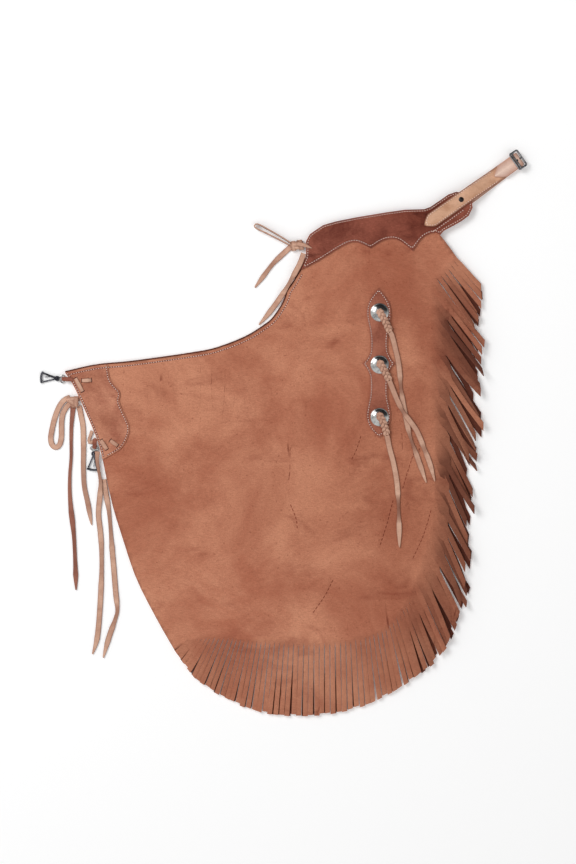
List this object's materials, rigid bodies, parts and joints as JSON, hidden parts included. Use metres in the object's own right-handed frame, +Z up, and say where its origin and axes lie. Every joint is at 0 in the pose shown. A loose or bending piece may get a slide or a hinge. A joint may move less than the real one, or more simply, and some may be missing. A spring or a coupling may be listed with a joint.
{
  "type": "chink chaps",
  "caption": "Short fringed leather chaps for riding, folded in half and laid flat, with yoke, conchos, lace ties, snap hooks and a belt buckle.",
  "frame": {"origin": "centre of the outline in plan, on the floor that the chaps lie on", "axes": "+Y towards the waist, +X towards the back belt, +Z up off the floor"},
  "size_m": [0.8528, 0.9915, 0.025],
  "materials": {
    "leg_leather": "soft nap, oiled",
    "yoke_leather": "rough-out suede, mottled",
    "patch_leather": "soft nap, oiled",
    "concho_patch_leather": "soft nap, oiled",
    "strap_leather": "smooth, waxed",
    "lace_leather": "smooth, oiled",
    "thong_leather": "smooth, oiled",
    "nickel": "polished",
    "snap_metal": "dark, worn",
    "dark_metal": "dark"
  },
  "bodies": {
    "chaps": {"billet_strap": "strap_leather", "buckle_frame": "nickel", "buckle_strap": "strap_leather", "buckle_tongue": "nickel", "concho_lace_1": "lace_leather", "concho_lace_2": "lace_leather", "concho_lace_3": "lace_leather", "corner_lace_loop": "lace_leather", "knee_lacing_1": "lace_leather", "knee_lacing_2": "lace_leather", "knee_snap_body": "snap_metal", "knee_snap_hanger": "thong_leather", "knee_tail_1": "lace_leather", "knee_tail_2": "lace_leather", "lower_concho_1": "nickel", "lower_concho_2": "nickel", "lower_concho_3": "nickel", "lower_concho_patch": "concho_patch_leather", "lower_corner_patch": "patch_leather", "lower_leg": "leg_leather", "lower_yoke": "yoke_leather", "strap_rivet": "dark_metal", "thigh_bow": "lace_leather", "thigh_lacing_1": "lace_leather", "thigh_lacing_2": "lace_leather", "thigh_snap_body": "snap_metal", "thigh_snap_hanger": "thong_leather", "thigh_tail_1": "lace_leather", "thigh_tail_2": "lace_leather", "thigh_tie_knot": "lace_leather", "upper_braid_1": "lace_leather", "upper_braid_2": "lace_leather", "upper_braid_3": "lace_leather", "upper_concho_1": "nickel", "upper_concho_2": "nickel", "upper_concho_3": "nickel", "upper_concho_patch": "concho_patch_leather", "upper_corner_patch": "patch_leather", "upper_leg": "leg_leather", "upper_yoke": "yoke_leather", "waist_bow": "lace_leather", "waist_tail_1": "lace_leather", "waist_tail_2": "lace_leather", "waist_tie_knot": "lace_leather", "waist_tie_wrap": "lace_leather"},
    "thigh_gate": {"thigh_snap_gate": "snap_metal"},
    "knee_gate": {"knee_snap_gate": "snap_metal"}
  },
  "joints": [
    {"name": "thigh_gate_hinge", "type": "hinge", "parent": "chaps", "child": "thigh_gate", "pos_m": [-0.39643, 0.09568, 0.0025], "axis": [0, 0, -1], "range_deg": [0, 15], "stiffness_Nm_per_rad": 0.02},
    {"name": "knee_gate_hinge", "type": "hinge", "parent": "chaps", "child": "knee_gate", "pos_m": [-0.33205, -0.03616, 0.0025], "axis": [0, 0, 1], "range_deg": [0, 15], "stiffness_Nm_per_rad": 0.02}
  ]
}
